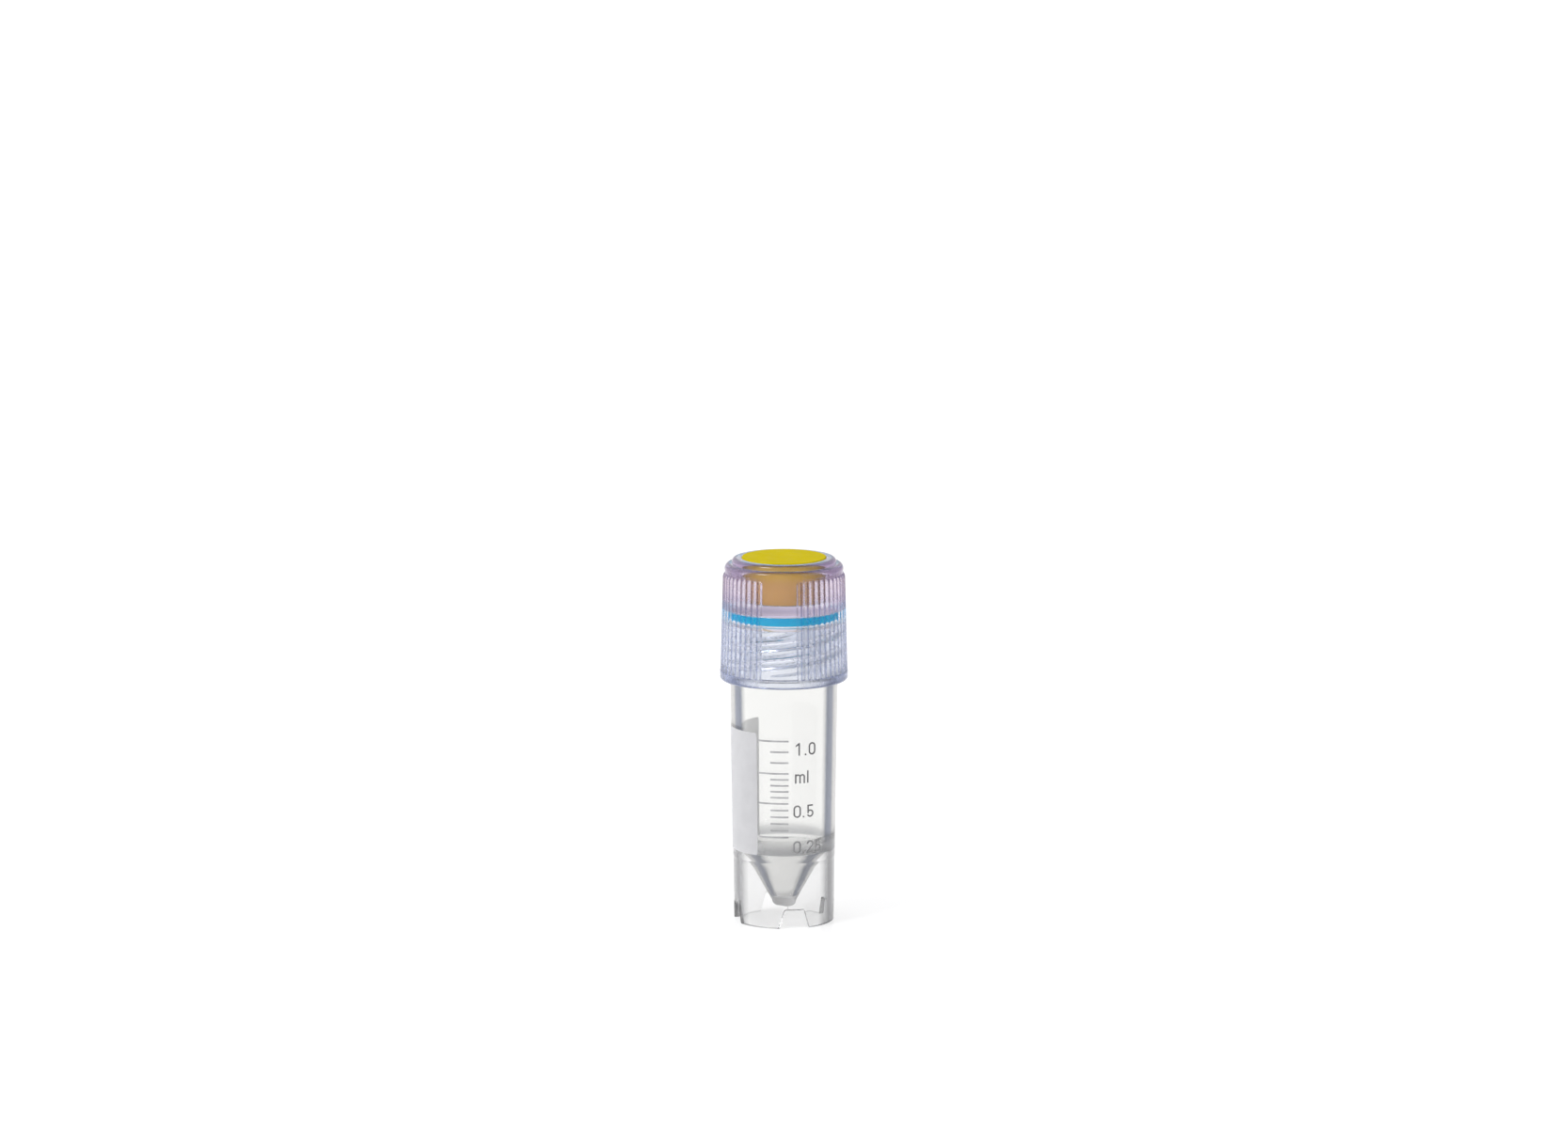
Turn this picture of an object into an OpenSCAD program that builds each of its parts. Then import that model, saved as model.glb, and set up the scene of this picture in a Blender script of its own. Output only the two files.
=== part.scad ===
// Screw-cap cryogenic vial: a 1 ml tube that stands on a notched skirt foot, with a
// two-start external thread, a ribbed screw cap, a ring gasket and a colour-coding insert.
// Millimetres. The origin is the centre of the foot's underside, +Z runs up the vial's
// axis, and the writing patch is on the -X side.

/* [Tube] */
// Outer diameter of the foot where it stands
foot_d = 11.14; // [11.0:0.02:11.3]
// Outer diameter of the body at its shoulder, just inside the cap
shoulder_d = 11.98; // [11.8:0.02:12.0]
// Height of the shoulder, where the body steps in to the neck
shoulder_z = 27.9; // [27.7:0.05:28.0]
// Outer diameter of the neck between the threads
neck_d = 11.0; // [10.9:0.05:11.1]
// Height of the rim that the gasket seals on
rim_z = 34.2; // [34.0:0.1:34.4]
// Bore diameter at the mouth
mouth_d = 9.9; // [9.7:0.02:9.96]
// Bore diameter where the inner cone begins
cone_top_d = 9.38; // [9.2:0.02:9.5]
// Height where the inner cone begins
cone_top_z = 9.9; // [9.6:0.1:10.2]
// Diameter of the small flat floor inside
floor_d = 1.6; // [1.2:0.1:2.0]
// Height of that inner floor
floor_z = 2.9; // [2.8:0.05:3.1]
// Thickness of the floor under it
floor_t = 1.2; // [1.0:0.05:1.3]
// Wall thickness of the cone
cone_wall = 0.8; // [0.7:0.05:0.9]
// Wall thickness of the skirt below the cone
skirt_wall = 0.7; // [0.6:0.05:0.9]

/* [Foot notches] */
// Number of notches around the foot
notch_count = 4; // [3:1:5]
// Width of a notch at the standing face, in degrees of the foot
notch_base_angle = 35; // [30:1:38]
// Width of a notch at its top, in degrees of the foot
notch_top_angle = 22.7; // [18:0.1:25]
// Height of a notch
notch_h = 2.05; // [1.8:0.05:2.2]
// Radius of a notch's upper corners
notch_corner_r = 0.35; // [0.2:0.05:0.5]
// Turn of the first notch from +X
notch_turn = 12.9; // [0:0.1:45]

/* [Thread] */
// Axial distance between neighbouring ridges
thread_pitch = 2.0; // [1.9:0.05:2.1]
// Height of a ridge above its root
thread_depth = 0.42; // [0.36:0.02:0.44]
// Axial width of a ridge at its root
thread_root_w = 1.05; // [0.9:0.05:1.1]
// Axial width of a ridge at its crest
thread_crest_w = 0.45; // [0.35:0.05:0.5]
// Turns that each ridge makes
thread_turns = 1.1; // [0.9:0.05:1.1]
// Turn from +X to the lower end of the tube's first ridge
thread_turn = 70; // [0:5:175]

/* [Cap] */
// Height of the cap's lower edge
cap_z = 27.3; // [27.2:0.05:27.4]
// Height of the cap's upper edge
cap_top_z = 41.0; // [40.8:0.1:41.2]
// Outer diameter of the flange around the lower edge
flange_d = 14.2; // [14.16:0.02:14.3]
// Height of that flange
flange_h = 1.05; // [0.9:0.05:1.2]
// Diameter over the ribs at their lower ends
rib_low_d = 14.12; // [14.0:0.02:14.14]
// Diameter over the ribs at their upper ends
rib_top_d = 13.52; // [13.4:0.02:13.6]
// Height of a rib above the cap's wall
rib_h = 0.22; // [0.15:0.01:0.25]
// Even divisions of the cap that the ribs sit on
rib_divisions = 56; // [52:2:60]
// Ribs in each of the two groups
ribs_per_group = 23; // [19:2:23]
// Turn from +Y to the middle of a smooth window between the groups
window_turn = -4.7; // [-90:0.1:90]
// Thickness of the web between the threaded chamber and the top recess
web_t = 1.1; // [0.9:0.1:1.2]
// Inner diameter of the threaded chamber
chamber_d = 12.24; // [12.22:0.01:12.26]

/* [Gasket and insert] */
// Outer diameter of the gasket
gasket_d = 11.4; // [11.2:0.1:11.5]
// Hole in the gasket
gasket_hole_d = 8.6; // [8.2:0.1:9.0]
// Thickness of the gasket between the tube's rim and the cap's web
gasket_t = 1.0; // [0.9:0.05:1.1]
// Diameter of the insert at its top face
insert_d = 9.36; // [9.2:0.02:9.4]
// Amount by which the insert stands proud of the cap
insert_proud = 0.08; // [0:0.02:0.12]
// Thickness of the insert's top
insert_top_t = 1.2; // [1.0:0.1:1.5]
// Wall of the insert's skirt
insert_wall = 0.9; // [0.8:0.1:1.1]

/* [Print] */
// Thickness of the ink
ink_t = 0.05; // [0.04:0.01:0.06]
// Turn from +X to the middle of the writing patch
patch_turn = 182; // [175:1:185]
// Arc of the writing patch
patch_arc = 115; // [90:1:118]
// Height of the patch's lower edge
patch_z = 8.25; // [7.5:0.05:9]
// Height of the patch's upper edge
patch_top_z = 22.1; // [21:0.1:24]
// Thickness of a line on the scale
line_w = 0.19; // [0.15:0.01:0.22]
// Height of a number
digit_h = 1.4; // [1.2:0.02:1.5]

/* [Hidden] */
$fn = 96;

foot_r = foot_d / 2;
body_taper = (shoulder_d - foot_d) / 2 / shoulder_z;
cone_taper = (cone_top_d - floor_d) / 2 / (cone_top_z - floor_z);
cone_wall_across = cone_wall * sqrt(1 + cone_taper * cone_taper);
skirt_r = foot_r - skirt_wall;
skirt_top_z = floor_z + (skirt_r - cone_wall_across - floor_d / 2) / cone_taper;
tip_z = floor_z - floor_t;
tip_round = 0.5;
tip_r = cone_outside(tip_z + tip_round);
foot_round = 0.12;
shoulder_round = 0.25;
lip_round = 0.2;

thread_starts = 2;
thread_lead = thread_pitch * thread_starts;
thread_z = shoulder_z + 0.95;        // middle of a ridge at its lower end
cap_thread_turn = thread_turn + 180 / thread_starts;     // half a pitch above the tube's
ridge_segments = 40;                 // flats per turn
ridge_fade = 30;                     // degrees over which a ridge's end grows
root_overlap = 0.15;                 // a ridge's root lies this deep in its wall

web_z = rim_z + gasket_t;
chamber_r = chamber_d / 2;
chamber_lead_in = 0.12;              // the chamber widens by this at its open end
gasket_gap = 0.06;                   // between the gasket and the wall of its pocket
pocket_lap = 0.2;                    // the pocket reaches this far down past the tube's rim
pocket_slope = 0.3;                  // height over which the pocket widens into the chamber
pocket_r = gasket_d / 2 + gasket_gap;
pocket_z = rim_z - pocket_lap;
flange_round = 0.35;
edge_round = 0.12;
wall_low_r = rib_low_d / 2 - rib_h;
wall_top_r = rib_top_d / 2 - rib_h;
flange_top_z = cap_z + flange_h;
rib_top_z = cap_top_z - 1.65;
rib_angle = atan((rib_low_d - rib_top_d) / 2 / (rib_top_z - flange_top_z));
rib_base_w = 0.62;
rib_tip_w = 0.36;
rib_sunk = 0.3;                      // a rib's root lies this deep in the wall
rib_foot = 0.2;                      // and this deep in the flange
shoulder_ring_r = wall_top_r + 0.07;
shoulder_ring_round = 0.6;
upper_ring_r = 5.8;
upper_ring_round = 0.4;
upper_ring_middle_z = cap_top_z - 0.45;
upper_ring_z = cap_top_z - 0.62;     // where the upper ring stands on the shoulder ring

insert_gap = 0.07;                   // between the insert and the wall of its recess
insert_draft = 0.16;
recess_z = web_z + web_t;
recess_r = insert_d / 2 + insert_gap;

ink_gap = 0.015;                     // the ink lies this far off the plastic
patch_from = patch_turn - patch_arc / 2;
long_from = patch_from + patch_arc + 1.5;      // left-hand ends of the long lines
short_from = 255;                    // left-hand ends of the short lines
lines_to = 275;                      // right-hand ends of all the lines
digit_w = 0.6 * digit_h;
digit_step = 0.76 * digit_h;
point_step = 0.34 * digit_h;
stroke_w = 0.115 * digit_h;
// Long lines of the scale: volume in ml, height, even divisions of the space below the line,
// height of the number's top and turn of its left-hand edge
long_lines = [
    [0.25, 10.42, 1, 9.97, 280.5],
    [0.5, 14.25, 5, 14.03, 280.5],
    [0.75, 17.65, 5, 17.93, 282],
    [1, 21.32, 3, 21.08, 282.6]
];

// Outer radius of the body at height z
function body_r(z) = foot_r + body_taper * z;

// Outer radius of the cone at height z
function cone_outside(z) = floor_d / 2 + cone_wall_across + cone_taper * (z - floor_z);

// Points along an arc of radius r about [x, z], from angle a to angle b
function arc(x, z, r, a, b, steps = 6) =
    [for (i = [0:steps]) [x, z] + r * [cos(a + (b - a) * i / steps), sin(a + (b - a) * i / steps)]];

// ---- thread --------------------------------------------------------------------------

// One helical ridge from root_r to crest_r, its section a trapezoid that grows in from
// its root at both ends
module ridge(root_r, crest_r, start_angle) {
    steps = round(thread_turns * ridge_segments);
    turn = thread_turns * 360;
    sections = [
        for (i = [0:steps])
        let (
            a = turn * i / steps,
            grown = min(1, 0.1 + min(a, turn - a) / ridge_fade),
            r = root_r + (crest_r - root_r) * grown,
            z = thread_z + thread_lead * a / 360,
            half = [thread_root_w / 2 * grown, thread_crest_w / 2 * grown]
        )
        for (p = [[root_r, -half[0]], [r, -half[1]], [r, half[1]], [root_r, half[0]]])
        [p[0] * cos(start_angle + a), p[0] * sin(start_angle + a), z + p[1]]
    ];
    sides = [
        for (i = [0:steps - 1])
        for (k = [0:3])
        let (a = 4 * i + k, b = 4 * i + (k + 1) % 4)
        each [[b, a + 4, a], [b + 4, a + 4, b]]
    ];
    last = 4 * steps;
    ends = [[2, 1, 0], [3, 2, 0], [last, last + 1, last + 2], [last, last + 2, last + 3]];
    faces = concat(sides, ends);
    polyhedron(sections, crest_r > root_r ? faces : [for (f = faces) [f[2], f[1], f[0]]]);
}

module thread(root_r, crest_r, turned) {
    for (k = [0:thread_starts - 1])
        ridge(root_r, crest_r, turned + 360 * k / thread_starts);
}

// ---- tube ----------------------------------------------------------------------------

module tube_section() {
    polygon(concat(
        // under the tip and up the outside of the cone
        [[0, tip_z]],
        arc(tip_r - tip_round, tip_z + tip_round, tip_round, -90, 0),
        [[skirt_r, skirt_top_z]],
        // down inside the skirt and up the outside of the body
        [[skirt_r, foot_round], [skirt_r + foot_round, 0]],
        arc(foot_r - foot_round, foot_round, foot_round, -90, 0, 3),
        arc(body_r(shoulder_z) - shoulder_round, shoulder_z - shoulder_round, shoulder_round, 0, 90),
        // neck and lip
        [[neck_d / 2, shoulder_z]],
        arc(neck_d / 2 - lip_round, rim_z - lip_round, lip_round, 0, 90),
        arc(mouth_d / 2 + lip_round / 2, rim_z - lip_round / 2, lip_round / 2, 90, 180, 3),
        // down the bore and the cone to the floor
        [[cone_top_d / 2, cone_top_z], [floor_d / 2, floor_z], [0, floor_z]]
    ));
}

// Outline of a notch seen from outside, narrower and rounded at its top
module notch_outline() {
    base = foot_r * sin(notch_base_angle / 2);
    top = foot_r * sin(notch_top_angle / 2);
    lean = atan((base - top) / notch_h);
    r = notch_corner_r;
    corner = [top - r * tan((90 - lean) / 2), notch_h - r];
    side = corner + r * [cos(lean), sin(lean)];
    polygon([
        [-base, -1], [base, -1], [base, 0], side,
        [corner[0], notch_h], [-corner[0], notch_h], [-side[0], side[1]], [-base, 0]
    ]);
    for (s = [-1, 1])
        translate([s * corner[0], corner[1]]) circle(r);
}

module foot_notches() {
    for (k = [0:notch_count - 1])
        rotate(notch_turn + 360 * k / notch_count)
            translate([skirt_r / 2, 0, 0])
                rotate([90, 0, 90])
                    linear_extrude(skirt_r) notch_outline();
}

module vial_tube() {
    color([0.94, 0.95, 0.96, 0.45])
        union() {
            difference() {
                rotate_extrude() tube_section();
                foot_notches();
            }
            thread(neck_d / 2 - root_overlap, neck_d / 2 + thread_depth, thread_turn);
        }
}

// ---- cap -----------------------------------------------------------------------------

module cap_section() {
    polygon(concat(
        // lower edge, flange and wall
        [[chamber_r + chamber_lead_in, cap_z]],
        arc(flange_d / 2 - flange_round, cap_z + flange_round, flange_round, -90, 0),
        arc(flange_d / 2 - edge_round, flange_top_z - edge_round, edge_round, 0, 90, 3),
        [[wall_low_r, flange_top_z], [wall_top_r, rib_top_z]],
        // the two rounded rings around the top
        arc(shoulder_ring_r - shoulder_ring_round, upper_ring_z - shoulder_ring_round,
            shoulder_ring_round, 0, 80),
        [[upper_ring_r, upper_ring_z]],
        arc(upper_ring_r - upper_ring_round, upper_ring_middle_z, upper_ring_round, 10, 70),
        // top recess
        [[recess_r + edge_round, cap_top_z], [recess_r, cap_top_z - edge_round]],
        [[recess_r - insert_draft, recess_z], [0, recess_z]],
        // gasket pocket and threaded chamber
        [[0, web_z], [pocket_r, web_z], [pocket_r, pocket_z]],
        [[chamber_r, pocket_z - pocket_slope]],
        [[chamber_r, cap_z + 2 * chamber_lead_in]]
    ));
}

module rib() {
    translate([wall_low_r, 0, flange_top_z - rib_foot])
        rotate([0, -rib_angle, 0])
            linear_extrude(rib_top_z - flange_top_z + rib_foot)
                polygon([
                    [-rib_sunk, -rib_base_w / 2], [0, -rib_base_w / 2],
                    [rib_h, -rib_tip_w / 2], [rib_h, rib_tip_w / 2],
                    [0, rib_base_w / 2], [-rib_sunk, rib_base_w / 2]
                ]);
}

module screw_cap() {
    half = (ribs_per_group - 1) / 2;
    color([0.80, 0.78, 0.90, 0.45])
        union() {
            rotate_extrude() cap_section();
            for (middle = [window_turn, window_turn + 180])
                for (k = [-half:half])
                    rotate(middle + 360 * k / rib_divisions)
                        rib();
            thread(chamber_r + root_overlap, chamber_r - thread_depth, cap_thread_turn);
        }
}

// ---- gasket and insert ---------------------------------------------------------------

module gasket() {
    color([0.16, 0.62, 0.85])
        rotate_extrude()
            translate([gasket_hole_d / 2, rim_z])
                square([(gasket_d - gasket_hole_d) / 2, web_z - rim_z]);
}

module cap_insert() {
    top_z = cap_top_z + insert_proud;
    low_r = insert_d / 2 - insert_draft;
    color([0.87, 0.80, 0.12])
        rotate_extrude()
            polygon(concat(
                [[0, top_z - insert_top_t], [low_r - insert_wall, top_z - insert_top_t]],
                [[low_r - insert_wall, recess_z], [low_r, recess_z]],
                arc(insert_d / 2 - edge_round, top_z - edge_round, edge_round, 0, 90, 3),
                [[0, top_z]]
            ));
}

// ---- print ---------------------------------------------------------------------------

// Skin of ink on the body between two heights, from one angle to another
module ink(low_z, high_z, from, to) {
    rotate(from)
        rotate_extrude(angle = to - from)
            translate([ink_gap, 0])
                polygon([
                    [body_r(low_z), low_z], [body_r(low_z) + ink_t, low_z],
                    [body_r(high_z) + ink_t, high_z], [body_r(high_z), high_z]
                ]);
}

module writing_patch() {
    color([0.96, 0.96, 0.97]) ink(patch_z, patch_top_z, patch_from, patch_from + patch_arc);
}

// Part of a ring of the stroke's width, from one angle to another up to 300 degrees on
module bow(r, from, to) {
    reach = 4 * r;
    middle = (from + to) / 2;
    intersection() {
        difference() {
            circle(r);
            circle(r - stroke_w);
        }
        polygon([[0, 0], for (a = [from, middle, to]) reach * [cos(a), sin(a)]]);
    }
}

// Upright shape with round ends
module capsule(w, h) {
    for (y = [w / 2, h - w / 2])
        translate([w / 2, y]) circle(w / 2);
    translate([0, w / 2]) square([w, h - w]);
}

// Outline of such a shape, drawn with the stroke's width
module loop(w, h) {
    difference() {
        capsule(w, h);
        translate([stroke_w, stroke_w]) capsule(w - 2 * stroke_w, h - 2 * stroke_w);
    }
}

// The characters, each standing on y = 0 with its left edge at x = 0
module zero() {
    loop(digit_w, digit_h);
}

module one() {
    flag = 2 * stroke_w;
    polygon([
        [flag, 0], [flag + stroke_w, 0], [flag + stroke_w, digit_h], [flag, digit_h],
        [0, digit_h - 1.6 * stroke_w], [0, digit_h - 2.6 * stroke_w], [flag, digit_h - 1.4 * stroke_w]
    ]);
}

module two() {
    r = digit_w / 2;
    bow_end = -35;
    arm = [cos(bow_end + 5), sin(bow_end + 5)];
    translate([r, digit_h - r]) bow(r, bow_end, 170);
    polygon([
        [0, 0], [digit_w, 0], [digit_w, stroke_w], [1.3 * stroke_w, stroke_w],
        [r, digit_h - r] + r * arm, [r, digit_h - r] + (r - stroke_w) * arm, [0, stroke_w]
    ]);
}

module five() {
    r = digit_w / 2;
    translate([stroke_w / 2, digit_h - stroke_w]) square([digit_w - stroke_w, stroke_w]);
    translate([stroke_w / 2, r]) square([stroke_w, digit_h - r]);
    translate([r, r]) bow(r, -155, 135);
}

module point() {
    square(1.1 * stroke_w);
}

module letter_m() {
    low_h = 0.74 * digit_h;
    arch_w = 0.47 * digit_h;
    square([stroke_w, low_h]);
    for (x = [0, arch_w - stroke_w])
        translate([x, 0])
            intersection() {
                translate([0, -arch_w]) loop(arch_w, low_h + arch_w);
                square([arch_w, low_h]);
            }
}

module letter_l() {
    square([stroke_w, digit_h]);
}

// A label of the given width on the skin of ink, its top at height z and its left-hand
// edge turned by from
module label(z, from, width) {
    middle = from + width / 2 / body_r(z) * 180 / PI;
    intersection() {
        ink(z - 1.5 * digit_h, z + 0.5 * digit_h, middle - 45, middle + 45);
        rotate(middle)
            translate([skirt_r, -width / 2, z - digit_h])
                rotate([90, 0, 90])
                    linear_extrude(skirt_r) children();
    }
}

// The number of a long line, or the unit in place of the third one
module number(volume, z, from) {
    decimals = digit_step + point_step;
    width = volume == 0.25 ? decimals + digit_step + digit_w : decimals + digit_w;
    label(z, from, width) {
        if (volume == 0.75) {
            letter_m();
            translate([digit_step + 2.2 * stroke_w, 0]) letter_l();
        } else {
            if (volume == 1) one(); else zero();
            translate([digit_step, 0]) point();
            translate([decimals, 0])
                if (volume == 1) zero(); else if (volume == 0.5) five(); else two();
            if (volume == 0.25)
                translate([decimals + digit_step, 0]) five();
        }
    }
}

module graduation_scale() {
    color([0.55, 0.56, 0.58])
        for (i = [0:len(long_lines) - 1]) {
            line = long_lines[i];
            below = long_lines[max(0, i - 1)][1];
            divisions = line[2];
            for (k = [1:divisions]) {
                z = k == divisions ? line[1] : below + (line[1] - below) * k / divisions;
                from = k == divisions ? long_from : short_from;
                ink(z - line_w / 2, z + line_w / 2, from, lines_to);
            }
            number(line[0], line[3], line[4]);
        }
}

vial_tube();
screw_cap();
gasket();
cap_insert();
writing_patch();
graduation_scale();
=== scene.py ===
"""Looks of the cryogenic vial: clear tube and cap, gasket, insert and print, with floor, light and camera.

Sizes are in millimetres until a mesh is made, in the frame of the CAD part: +Z up the vial's
axis, the origin under the middle of the foot, the front towards -Y.
"""
import math

import bpy
import numpy as np
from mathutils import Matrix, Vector


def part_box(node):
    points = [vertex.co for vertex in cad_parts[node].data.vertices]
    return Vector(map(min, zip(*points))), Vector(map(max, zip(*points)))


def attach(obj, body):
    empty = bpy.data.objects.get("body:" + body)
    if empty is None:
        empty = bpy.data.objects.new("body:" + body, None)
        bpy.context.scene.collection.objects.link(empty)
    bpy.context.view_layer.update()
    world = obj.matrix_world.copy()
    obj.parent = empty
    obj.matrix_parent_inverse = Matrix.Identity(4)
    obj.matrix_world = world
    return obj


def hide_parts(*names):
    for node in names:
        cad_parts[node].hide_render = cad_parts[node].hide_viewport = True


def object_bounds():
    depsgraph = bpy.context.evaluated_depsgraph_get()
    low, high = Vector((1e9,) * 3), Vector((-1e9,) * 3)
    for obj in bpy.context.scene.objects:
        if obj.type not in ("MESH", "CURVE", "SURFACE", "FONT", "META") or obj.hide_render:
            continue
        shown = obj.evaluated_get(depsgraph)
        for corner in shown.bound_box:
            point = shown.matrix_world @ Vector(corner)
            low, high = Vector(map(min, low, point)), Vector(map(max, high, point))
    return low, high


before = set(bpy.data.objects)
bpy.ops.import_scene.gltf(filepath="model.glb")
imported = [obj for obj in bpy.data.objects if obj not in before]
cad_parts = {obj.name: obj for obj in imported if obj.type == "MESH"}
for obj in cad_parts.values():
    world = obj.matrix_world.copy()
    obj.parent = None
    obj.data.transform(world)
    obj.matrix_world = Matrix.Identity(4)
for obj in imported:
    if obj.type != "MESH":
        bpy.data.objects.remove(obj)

CAD_BOUNDS = [list(corner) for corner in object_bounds()]
MM = 0.001


def box_mm(node):
    """Lowest and highest corner of a CAD node, in millimetres."""
    return [np.array(corner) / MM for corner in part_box(node)]


TUBE_HIGH = box_mm("vial_tube")[1]
CAP_LOW, CAP_HIGH = box_mm("screw_cap")
GASKET_HIGH = box_mm("gasket")[1]
INSERT_LOW, INSERT_HIGH = box_mm("cap_insert")
PATCH_LOW, PATCH_HIGH = box_mm("writing_patch")

# Tube
RIM_Z = TUBE_HIGH[2]
SHOULDER_Z = CAP_LOW[2] + 0.6
SHOULDER_R = TUBE_HIGH[0]
FOOT_R = SHOULDER_R - 0.42
NECK_R = SHOULDER_R - 0.49
MOUTH_R = 4.95
CONE_TOP_R = 4.69
CONE_TOP_Z = 9.9
FLOOR_R = 0.8
FLOOR_Z = 2.9
FLOOR_T = 1.2
CONE_WALL = 0.8
SKIRT_WALL = 0.7
PARTING_Z = 7.4
BEAD_HEIGHT = 0.012                     # the moulded line at the parting height
BEAD_HALF = 0.05
SKIRT_ROUND = 0.12
SHOULDER_ROUND = 0.25
NECK_ROUND = 0.15
LIP_ROUND = 0.2
MOUTH_ROUND = 0.12
TIP_ROUND = 0.5
CONE_ROUND = 0.5
WELL_ROUND = 0.25
NOTCH_COUNT = 4
NOTCH_TURN = 12.9
NOTCH_HEIGHT = 2.05
NOTCH_BASE = FOOT_R * math.sin(math.radians(35 / 2))
NOTCH_TOP = FOOT_R * math.sin(math.radians(22.7 / 2))
NOTCH_BASE_SOFT = 0.06                  # rounds at a side's ends, as shares of its slope
NOTCH_TOP_SOFT = 0.2
NOTCH_REACH = 3.2                       # the skirt's rows are bent around a notch up to here
FOOT_KEPT = 0.4                         # the foot's own rounding, up to here, isn't squeezed

CONE_TAPER = (CONE_TOP_R - FLOOR_R) / (CONE_TOP_Z - FLOOR_Z)
CONE_ACROSS = CONE_WALL * math.hypot(1, CONE_TAPER)
SKIRT_R = FOOT_R - SKIRT_WALL
SKIRT_TOP_Z = FLOOR_Z + (SKIRT_R - CONE_ACROSS - FLOOR_R) / CONE_TAPER

# Thread
PITCH = 2.0
STARTS = 2
LEAD = PITCH * STARTS
RIDGE_DEPTH = 0.42
RIDGE_ROOT = 1.05
RIDGE_CREST = 0.45
RIDGE_TURNS = 1.1
RIDGE_FADE = 30                         # degrees over which a ridge's end grows
THREAD_Z = SHOULDER_Z + 0.95            # middle of a ridge at its lower end
TUBE_THREAD_TURN = 70
CAP_THREAD_TURN = TUBE_THREAD_TURN + 180 / STARTS

# Cap
CAP_Z, CAP_TOP_Z = CAP_LOW[2], CAP_HIGH[2]
FLANGE_R = CAP_HIGH[0]
FLANGE_TOP_Z = CAP_Z + 1.05
FLANGE_ROUND = 0.35
FLANGE_TOP_ROUND = 0.12
RIB_TOP_Z = CAP_TOP_Z - 1.65
RIB_HEIGHT = 0.22
RIB_BASE = 0.62
RIB_TIP = 0.3
RIB_DIVISIONS = 56
RIBS_PER_GROUP = 23
RIB_END = 0.35                          # height over which a rib's top sinks into the wall
RIB_INSET = 0.04                        # a rib's foot stays this far inside the flange's edge
GROUPS = 2
GROUP_TURN = -4.7                       # middle of a group of ribs
WALL_LOW_R = FLANGE_R - 0.26
WALL_TOP_R = WALL_LOW_R - 0.3
WALL_FOOT_ROUND = 0.08
WEB_Z = GASKET_HIGH[2]
CHAMBER_R = 6.12
CHAMBER_TOP_Z = WEB_Z - 1.5
CHAMBER_LOW_Z = CAP_Z + 0.4
LEAD_IN = 0.12                          # the chamber widens by this at its mouth
POCKET_ROUND = 0.06
POCKET_LOW_Z = WEB_Z - 1.15
RECESS_Z = INSERT_LOW[2]
RECESS_FLOOR_ROUND = 0.15
LOWER_RING_ROUND = 0.6
LOWER_RING_R = WALL_TOP_R - 0.53        # middle of the lower ring's round
LOWER_RING_Z = CAP_TOP_Z - 1.22
CREASE_Z = CAP_TOP_Z - 0.62             # where the two rings meet
UPPER_RING_R = 5.8
UPPER_RING_ROUND = 0.42
UPPER_RING_Z = CAP_TOP_Z - 0.46
EDGE_ROUND = 0.1

# Gasket and insert
GASKET_R = GASKET_HIGH[0]
GASKET_HOLE_R = 4.3
INSERT_R = INSERT_HIGH[0]
INSERT_DRAFT = 0.16
INSERT_GAP = 0.07
INSERT_WALL = 0.9
INSERT_TOP_T = 1.2
SOFT = 0.12                             # rounding of the gasket's, the insert's and the patch's edges

# Ink
INK_T = 0.05
PATCH_TURN = 182
PATCH_ARC = 115
SINK = 0.012                            # print and gasket sit this deep in the clear plastic

# Meshes
AXIS_R = 0.4                            # the cap's and insert's flat faces start their rows here
NEAR = 0.05                             # a row this close to a surface belongs to it
COLUMN_STEP = 1.5                       # degrees
FINE_STEP = 0.4


# ---- outlines ------------------------------------------------------------------------

def line(start, end, steps):
    """Points from start towards end, without the end itself."""
    start, end = np.array(start, float), np.array(end, float)
    return [start + (end - start) * i / steps for i in range(steps)]


def arc(r, z, radius, first, last, steps=6):
    """Points along an arc about (r, z), both ends included; angles in degrees."""
    angles = np.radians(np.linspace(first, last, steps + 1))
    return [np.array((r + radius * math.cos(a), z + radius * math.sin(a))) for a in angles]


def fillet(before, corner, after, radius, steps=6):
    """Points of a round that replaces the corner between two straight lines."""
    before, corner, after = (np.array(p, float) for p in (before, corner, after))
    u = (before - corner) / np.linalg.norm(before - corner)
    v = (after - corner) / np.linalg.norm(after - corner)
    half = math.acos(float(np.clip(u @ v, -1, 1))) / 2
    centre = corner + (u + v) / np.linalg.norm(u + v) * radius / math.sin(half)
    first, last = corner + u * radius / math.tan(half), corner + v * radius / math.tan(half)
    a, b = (math.atan2(*(p - centre)[::-1]) for p in (first, last))
    sweep = (b - a + math.pi) % (2 * math.pi) - math.pi
    return [
        centre + radius * np.array((math.cos(a + sweep * i / steps), math.sin(a + sweep * i / steps)))
        for i in range(steps + 1)
    ]


def body_r(z):
    """Outer radius of the tube's body at height z."""
    return FOOT_R + (SHOULDER_R - FOOT_R) * z / SHOULDER_Z


def eased(t, low_soft, high_soft):
    """Rises from 0 to 1 as t does, with a parabolic round of the given half-length at each end."""
    t = np.asarray(t, float)
    out = np.clip(t, 0, 1)
    low = np.abs(t) < low_soft
    out = np.where(low, (t + low_soft) ** 2 / (4 * low_soft), out)
    high = np.abs(1 - t) < high_soft
    return np.where(high, 1 - (1 - t + high_soft) ** 2 / (4 * high_soft), out)


# ---- meshes --------------------------------------------------------------------------

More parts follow.
